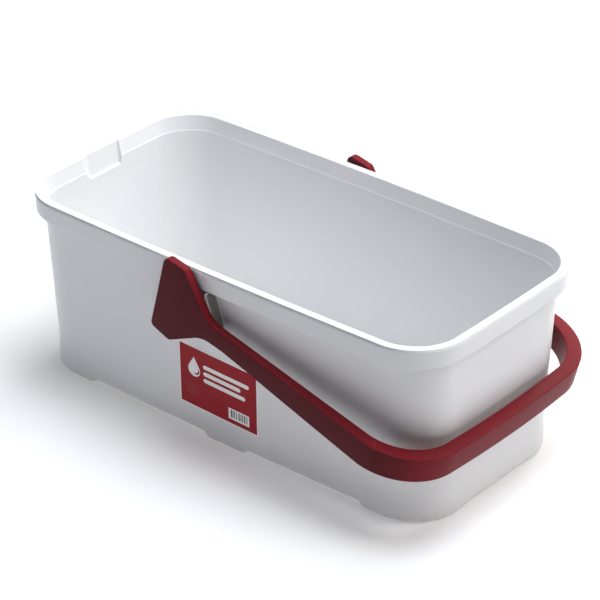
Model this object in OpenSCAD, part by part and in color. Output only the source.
// Flat-mop bucket: a long white tub with a rim and skirt, a red bail handle that swings over it
// on two moulded studs, and a printed label on one side. Millimetres, +Z up, +X towards the end
// where the handle rests. The origin is the middle of the base, on the floor.

/* [Tub] */
// Length of the rim
rim_length = 530; // [515:1:545]
// Width of the rim
rim_width = 261; // [255:1:263]
// Height of the tub
tub_height = 205; // [203:1:206]
// Corner radius of the rim, seen from above
rim_corner = 54; // [50:1:58]
// Width of the flat top of the rim
rim_flat = 8.4; // [8:0.1:9]
// Depth of the skirt that hangs from the rim
skirt_depth = 22; // [19:1:24]
// Thickness of the walls
wall = 2.5; // [2.2:0.1:2.8]
// Thickness of the floor
floor_thickness = 3; // [2.5:0.1:4]
// How far each end leans in from the skirt down to the base
end_taper = 2.6; // [2:0.1:3.4]
// How far each side leans in from the skirt down to the base
side_taper = 8.5; // [8:0.1:9]
// Outward bow of each end at its middle
end_bow = 1.8; // [1.2:0.1:2]
// Outward bow of each side at its middle
side_bow = 4; // [3.5:0.1:4]

/* [Feet and pouring lip] */
// Height of the arches between the feet
foot_height = 4; // [2:0.5:5]
// Distance from the middle to where each corner foot starts
corner_foot_start = 182; // [170:1:190]
// Length of the middle foot on each side
middle_foot_length = 42; // [30:1:60]
// Distance of the middle foot from the middle, towards the end where the handle rests
middle_foot_shift = 5; // [-5:1:10]
// How far the feet stand out from the walls
foot_swell = 2; // [0.5:0.1:2.5]
// Width of the deeper stretch of the inner band at the pouring end
lip_width = 43; // [30:1:60]
// How far this stretch lies to one side
lip_offset = 4.5; // [0:0.5:12]
// How much deeper the band is there
lip_extra_depth = 9.5; // [4:0.5:11]
// How far this stretch is set back into the band
lip_recess = 2; // [1:0.1:2.5]

/* [Handle] */
// Height of the handle's pivot above the floor
pivot_height = 162; // [161:0.5:163]
// How far the lowered handle points below the horizontal
rest_tilt = 14; // [13:0.1:14.4]
// Distance from the pivot to the inner face of the bar
bar_reach = 269.4; // [269.3:0.1:271]
// Thickness of the bar
bar_thickness = 14.3; // [12:0.1:16]
// Depth of the bar
bar_depth = 28; // [24:0.5:30]
// Outward bow of the bar at its middle
bar_bow = 2.4; // [2:0.1:3]
// Thickness of the paddles that end the handle's arms
paddle_thickness = 9; // [7:0.1:9.2]
// Radius of the pivot studs
stud_radius = 5.5; // [4.5:0.1:6]
// Radial play of a stud in its bore
stud_play = 0.08; // [0.05:0.01:0.1]

/* [Label] */
// Length of the label
label_length = 100; // [80:1:110]
// Height of the label
label_height = 70; // [50:1:75]
// Height of the label's lower edge above the floor
label_base = 32.5; // [30:0.5:40]

/* [Hidden] */
white_plastic = [0.93, 0.93, 0.94];
red_plastic = [0.56, 0.1, 0.13];
label_red = [0.72, 0.13, 0.15];

// Tub sections: insets are measured inwards from the rim's outer face
rim_a = rim_length / 2;
rim_b = rim_width / 2;
edge_round = 1;
rim_plate = 2.5;
skirt_lean = 0.8;
skirt_wall = 2.2;
band_depth = 15;
band_step = 2.5;
band_inset = rim_flat + 3.1;
wall_inset = 9.8;
skirt_z = tub_height - skirt_depth;
base_corner = 50;
base_round = 4.5;
rail_width = 10;
foot_ramp = 7;
swell_top = 34;
floor_top = foot_height + floor_thickness;
inner_round = 10;
end_arch = 0.3;

// Places along the straight stretches of the outline, as fractions of their half-length
side_run = rim_a - wall_inset - end_taper - base_corner;
end_run = rim_b - wall_inset - (rim_corner - wall_inset);
foot_half = middle_foot_length / 2;
side_marks = [
    -corner_foot_start,
    -corner_foot_start + foot_ramp,
    -120,
    -70,
    middle_foot_shift - foot_half - foot_ramp,
    middle_foot_shift - foot_half,
    middle_foot_shift,
    middle_foot_shift + foot_half,
    middle_foot_shift + foot_half + foot_ramp,
    70,
    120,
    corner_foot_start - foot_ramp,
    corner_foot_start
] / side_run;
lip_ramp = 2;
lip_long_ramp = 10;
lip_low = -lip_offset - lip_width / 2;
lip_high = -lip_offset + lip_width / 2;
end_marks = [-70, lip_low - lip_long_ramp, lip_low, -lip_offset, lip_high, lip_high + lip_ramp, 40, 70] / end_run;
corner_steps = 10;

function reversed(list) = [for (i = [len(list) - 1:-1:0]) list[i]];

// One station per point of the outline, anticlockwise from the +X end:
// [x sign, y sign, angle] in a corner, [0, side, place] along a side and [end, 0, place] along an end
function corner(sx, sy, from) =
    [for (i = [0:corner_steps]) [sx, sy, from + 90 * i / corner_steps]];
stations = concat(
    [for (m = end_marks) [1, 0, m]],
    corner(1, 1, 0),
    [for (m = reversed(side_marks)) [0, 1, m]],
    corner(-1, 1, 90),
    [for (m = reversed(end_marks)) [-1, 0, m]],
    corner(-1, -1, 180),
    [for (m = side_marks) [0, -1, m]],
    corner(1, -1, 270)
);

// Point of a rounded rectangle with half-sizes a and b and corner radius r, its sides bowed outwards
function flat_point(s, a, b, r) =
    s[0] != 0 && s[1] != 0
        ? [s[0] * (a - r) + r * cos(s[2]), s[1] * (b - r) + r * sin(s[2])]
        : s[0] == 0 ? [s[2] * (a - r), s[1] * b] : [s[0] * a, s[2] * (b - r)];
function bowed(p, a, b) = [
    p.x + end_bow * (1 - pow(p.y / b, 2)) * p.x / a,
    p.y + side_bow * (1 - pow(p.x / a, 2)) * p.y / b
];
function outline_point(s, a, b, r) = bowed(flat_point(s, a, b, r), a, b);

// Share of the arch at a station: 1 between the feet, 0 on a foot, and a faint arch on the ends
function ramp(t, low, high) = max(0, min(1, (t - low) / (high - low)));
function side_arch(x) =
    ramp(abs(x - middle_foot_shift), foot_half, foot_half + foot_ramp)
    * ramp(corner_foot_start - abs(x), 0, foot_ramp);
function arch(s) =
    s[0] != 0 && s[1] != 0 ? 0
    : s[0] == 0 ? side_arch(s[2] * side_run)
    : end_arch * ramp(1 - abs(s[2]), 0.1, 0.4);
function lip(s) =
    s[0] == -1 && s[1] == 0
        ? min(
            ramp(s[2] * end_run, lip_low - lip_long_ramp, lip_low),
            ramp(lip_high + lip_ramp - s[2] * end_run, 0, lip_ramp)
        )
        : 0;

// Rings of the rim, by inset, and of the drafted wall, by height
function rim_ring(inset, z, dip = 0, recess = 0) = [
    for (s = stations)
        let (
            i = inset - recess * lip_recess * lip(s),
            p = outline_point(s, rim_a - i, rim_b - i, rim_corner - i)
        )
        [p.x, p.y, z - dip * lip_extra_depth * lip(s)]
];
function share(z) = z / skirt_z;
function wall_a(z) = rim_a - wall_inset - end_taper * (1 - share(z));
function wall_b(z) = rim_b - wall_inset - side_taper * (1 - share(z));
function wall_r(z) = base_corner + (rim_corner - wall_inset - base_corner) * share(z);
function wall_ring(inset, z, swell = 0, lift = 0) = [
    for (s = stations)
        let (
            h = z + lift * foot_height * arch(s),
            i = inset - swell * foot_swell * (1 - arch(s)),
            p = outline_point(s, wall_a(h) - i, wall_b(h) - i, wall_r(h) - i)
        )
        [p.x, p.y, h]
];
function round_in(r, t) = r * (1 - sin(t));
function round_up(r, t) = r * (1 - cos(t));
round_steps = [0:22.5:90];

tub_rings = concat(
    [wall_ring(base_round + rail_width + 1, foot_height)],
    [wall_ring(base_round + rail_width, 0, 0, 1)],
    [for (t = round_steps) wall_ring(round_in(base_round, t), round_up(base_round, t), 1, 1)],
    [wall_ring(0, swell_top)],
    [rim_ring(wall_inset + 0.1, tub_height - band_depth - band_step + 0.5, 1)],
    [rim_ring(band_inset - wall, tub_height - band_depth + 0.8, 1, 1)],
    [rim_ring(rim_flat - wall + 0.2, tub_height - rim_plate, 0, 1)],
    [rim_ring(skirt_wall + 0.2, tub_height - rim_plate)],
    [rim_ring(skirt_lean + skirt_wall, skirt_z)],
    [rim_ring(skirt_lean, skirt_z)],
    [
        for (t = [90:-30:0])
            rim_ring(edge_round - edge_round * sin(t), tub_height - edge_round + edge_round * cos(t))
    ],
    [
        for (t = [0:45:90])
            rim_ring(rim_flat - 1 + sin(t), tub_height - 1 + cos(t), 0, 1)
    ],
    [rim_ring(band_inset, tub_height - band_depth, 1, 1)],
    [rim_ring(wall_inset + wall, tub_height - band_depth - band_step, 1)],
    [
        for (t = [90:-22.5:0])
            wall_ring(wall + round_in(inner_round, t), floor_top + round_up(inner_round, t))
    ]
);

// A closed solid through rings of equal length, with flat first and last rings
module skin(rings) {
    n = len(rings[0]);
    m = len(rings);
    points = [for (ring = rings) each ring];
    sides = [
        for (k = [0:m - 2])
            for (i = [0:n - 1])
                let (j = (i + 1) % n, low = k * n, high = low + n)
                each [[low + i, high + j, low + j], [low + i, high + i, high + j]]
    ];
    first = [for (i = [0:n - 1]) i];
    last = [for (i = [n - 1:-1:0]) (m - 1) * n + i];
    polyhedron(points, concat(sides, [first, last]), convexity = 10);
}

// Lug that carries a stud: a drop shape under the skirt, with a web up to the rim
lug_round = 13.2;
lug_round_z = 146;
lug_tip_round = 1;
lug_tip_z = 181;
lug_face = 136.2;
lug_root = 122.2;
bore_depth = 9.6;
web_half = 1.5;
web_out = rim_b + side_bow - skirt_wall;
web_spans = [
    [lug_tip_z - 4, tub_height - 15.5, 123.7],
    [tub_height - 16, tub_height - 8, 125],
    [tub_height - 8.5, tub_height - rim_plate + 0.5, 126.9]
];
lug_slope = asin((lug_round - lug_tip_round) / (lug_tip_z - lug_round_z));

function arc(r, z, from, to, steps) =
    [for (i = [0:steps]) let (t = from + (to - from) * i / steps) [r * cos(t), z + r * sin(t)]];
lug_points = concat(
    arc(lug_round, lug_round_z, 180 - lug_slope, 360 + lug_slope, 24),
    arc(lug_tip_round, lug_tip_z, lug_slope, 180 - lug_slope, 6)
);

module lug() {
    translate([0, -lug_root, 0])
        rotate([90, 0, 0])
            linear_extrude(lug_face - lug_root) polygon(lug_points);
    for (span = web_spans)
        translate([-web_half, -web_out, span[0]])
            cube([2 * web_half, web_out - span[2], span[1] - span[0]]);
}

// Band across the base between the middle feet, and thin ribs that stay clear of the floor
rib_width = 2.2;
rib_foot = 1.8;
rib_reach = 237;
cross_reach = 99;
rib_top = foot_height + 0.5;

module base_band() {
    translate([middle_foot_shift - foot_half, -cross_reach, 0])
        cube([middle_foot_length, 2 * cross_reach, rib_top]);
}

module base_ribs() {
    for (y = [-60, 0, 60])
        translate([-rib_reach, y - rib_width / 2, rib_foot])
            cube([2 * rib_reach, rib_width, rib_top - rib_foot]);
    for (x = [-185, -130, -75, 75, 130, 185])
        translate([x - rib_width / 2, -cross_reach, rib_foot])
            cube([rib_width, 2 * cross_reach, rib_top - rib_foot]);
}

module stud_bore() {
    translate([0, -lug_face - 1, pivot_height])
        rotate([-90, 0, 0])
            cylinder(h = bore_depth + 1, r = stud_radius + stud_play, $fn = 64);
}

module tub() {
    color(white_plastic)
        difference() {
            union() {
                skin(tub_rings);
                base_band();
                base_ribs();
                lug();
                mirror([0, 1, 0]) lug();
            }
            stud_bore();
            mirror([0, 1, 0]) stud_bore();
        }
}

// Handle, laid out with the pivot at the origin, its arms along +X and the paddles across them
arm_drop = 14;
paddle_out = lug_face + 0.3 + paddle_thickness;
arm_splay = 9.6;
arm_start = 34;
arm_thickness_end = 13.6;
arm_depth_start = 20.5;
outer_corner = 66;
inner_corner = 56;
arm_lift_start = 1.4;
handle_edge = 2.5;
arm_end = bar_reach + bar_thickness - outer_corner;
corner_out = paddle_out + arm_splay;
corner_in = corner_out - arm_thickness_end;
bar_out_half = corner_out - outer_corner;
bar_in_half = corner_in - inner_corner;

// Each station of one half: [outer x, outer y, inner x, inner y, share of the way to the bar]
arm_stations = [
    for (i = [0:6])
        let (
            t = i / 6,
            xo = arm_start + (arm_end - arm_start) * t,
            xi = arm_start + (bar_reach - inner_corner - arm_start) * t,
            out = paddle_out + arm_splay * t,
            thick = paddle_thickness + (arm_thickness_end - paddle_thickness) * t
        )
        [xo, out, xi, out - thick, t]
];
corner_stations = [
    for (i = [1:9])
        let (t = 10 * i)
        [
            arm_end + outer_corner * sin(t),
            bar_out_half + outer_corner * cos(t),
            bar_reach - inner_corner + inner_corner * sin(t),
            bar_in_half + inner_corner * cos(t),
            1
        ]
];
bar_stations = [
    for (i = [1:4])
        let (t = 1 - i / 4, bow = bar_bow * (1 - t * t))
        [
            bar_reach + bar_thickness + bow,
            bar_out_half * t,
            bar_reach + bow,
            bar_in_half * t,
            1
        ]
];
half_stations = concat(arm_stations, corner_stations, bar_stations);
handle_stations = concat(
    half_stations,
    [
        for (i = [len(half_stations) - 2:-1:0])
            let (s = half_stations[i])
            [s[0], -s[1], s[2], -s[3], s[4]]
    ]
);

// Rounded rectangle across the arm at a station: v runs from the inner to the outer face
function across(s, v, w) = [s[2] + (s[0] - s[2]) * v, s[3] + (s[1] - s[3]) * v, w];
function handle_section(s) =
    let (
        width = norm([s[0] - s[2], s[1] - s[3]]),
        depth = arm_depth_start + (bar_depth - arm_depth_start) * s[4],
        middle = -arm_drop + arm_lift_start * (1 - s[4]),
        e = handle_edge / width
    )
    [
        for (q = [[1, 1, 0], [0, 1, 90], [0, -1, 180], [1, -1, 270]])
            for (t = [q[2]:30:q[2] + 90])
                across(
                    s,
                    (q[0] == 1 ? 1 - e : e) + e * cos(t),
                    middle + q[1] * (depth / 2 - handle_edge) + handle_edge * sin(t)
                )
    ];

// Polygon with each corner replaced by an arc of its own radius: points are [x, y, radius]
function unit(v) = v / norm(v);
function arc_corner(before, here, after, r) =
    let (
        u = unit(before - here),
        v = unit(after - here),
        half = acos(u * v) / 2,
        centre = here + unit(u + v) * r / sin(half),
        start = here + u * r / tan(half) - centre,
        stop = here + v * r / tan(half) - centre,
        from = atan2(start.y, start.x),
        turn = atan2(stop.y, stop.x) - from,
        sweep = turn > 180 ? turn - 360 : turn < -180 ? turn + 360 : turn
    )
    [for (i = [0:6]) centre + r * [cos(from + sweep * i / 6), sin(from + sweep * i / 6)]];
function rounded(points) =
    let (n = len(points))
    [
        for (i = [0:n - 1])
            let (
                a = points[(i + n - 1) % n],
                b = points[i],
                c = points[(i + 1) % n]
            )
            each b[2] > 0 ? arc_corner([a.x, a.y], [b.x, b.y], [c.x, c.y], b[2]) : [[b.x, b.y]]
    ];

// The paddle: a flat blade that flares from the arm and ends square behind the pivot
paddle_points = rounded([
    [-54.8, 37.6, 7],
    [-55.2, -48.2, 6],
    [-29.8, -52, 5],
    [7.6, -22.8, 30],
    [arm_start + 6, -arm_drop + arm_lift_start - arm_depth_start / 2 + 1, 0],
    [arm_start + 6, -arm_drop + arm_lift_start + arm_depth_start / 2 - 1, 0],
    [11.9, -2, 30],
    [-28.2, 38.2, 5]
]);
paddle_bevel = 1.5;

module paddle() {
    translate([0, -paddle_out + paddle_bevel, 0])
        rotate([90, 0, 0])
            mirror([0, 0, 1])
                linear_extrude(paddle_thickness - paddle_bevel) polygon(paddle_points);
    translate([0, -paddle_out + paddle_thickness, 0])
        rotate([90, 0, 0])
            linear_extrude(paddle_thickness) offset(delta = -paddle_bevel) polygon(paddle_points);
}

module stud() {
    translate([0, -lug_face - 1, 0])
        rotate([-90, 0, 0])
            cylinder(h = bore_depth + 0.4, r = stud_radius, $fn = 64);
}

module handle() {
    color(red_plastic)
        translate([0, 0, pivot_height])
            rotate([0, rest_tilt, 0]) {
                skin([for (s = handle_stations) handle_section(s)]);
                paddle();
                mirror([0, 1, 0]) paddle();
                stud();
                mirror([0, 1, 0]) stud();
            }
}

// Label: a film that follows the bowed and leaning side wall
film = 0.15;
film_gap = 0.05;
function side_y(x, z, out) =
    -(wall_b(z) + side_bow * (1 - pow(x / wall_a(z), 2)) + out);
function label_ring(x) = [
    [x, side_y(x, label_base, film_gap), label_base],
    [x, side_y(x, label_base + label_height, film_gap), label_base + label_height],
    [x, side_y(x, label_base + label_height, film_gap + film), label_base + label_height],
    [x, side_y(x, label_base, film_gap + film), label_base]
];

module label() {
    color(label_red)
        skin([for (i = [0:8]) label_ring(label_length * (i / 8 - 0.5))]);
}

tub();
handle();
label();
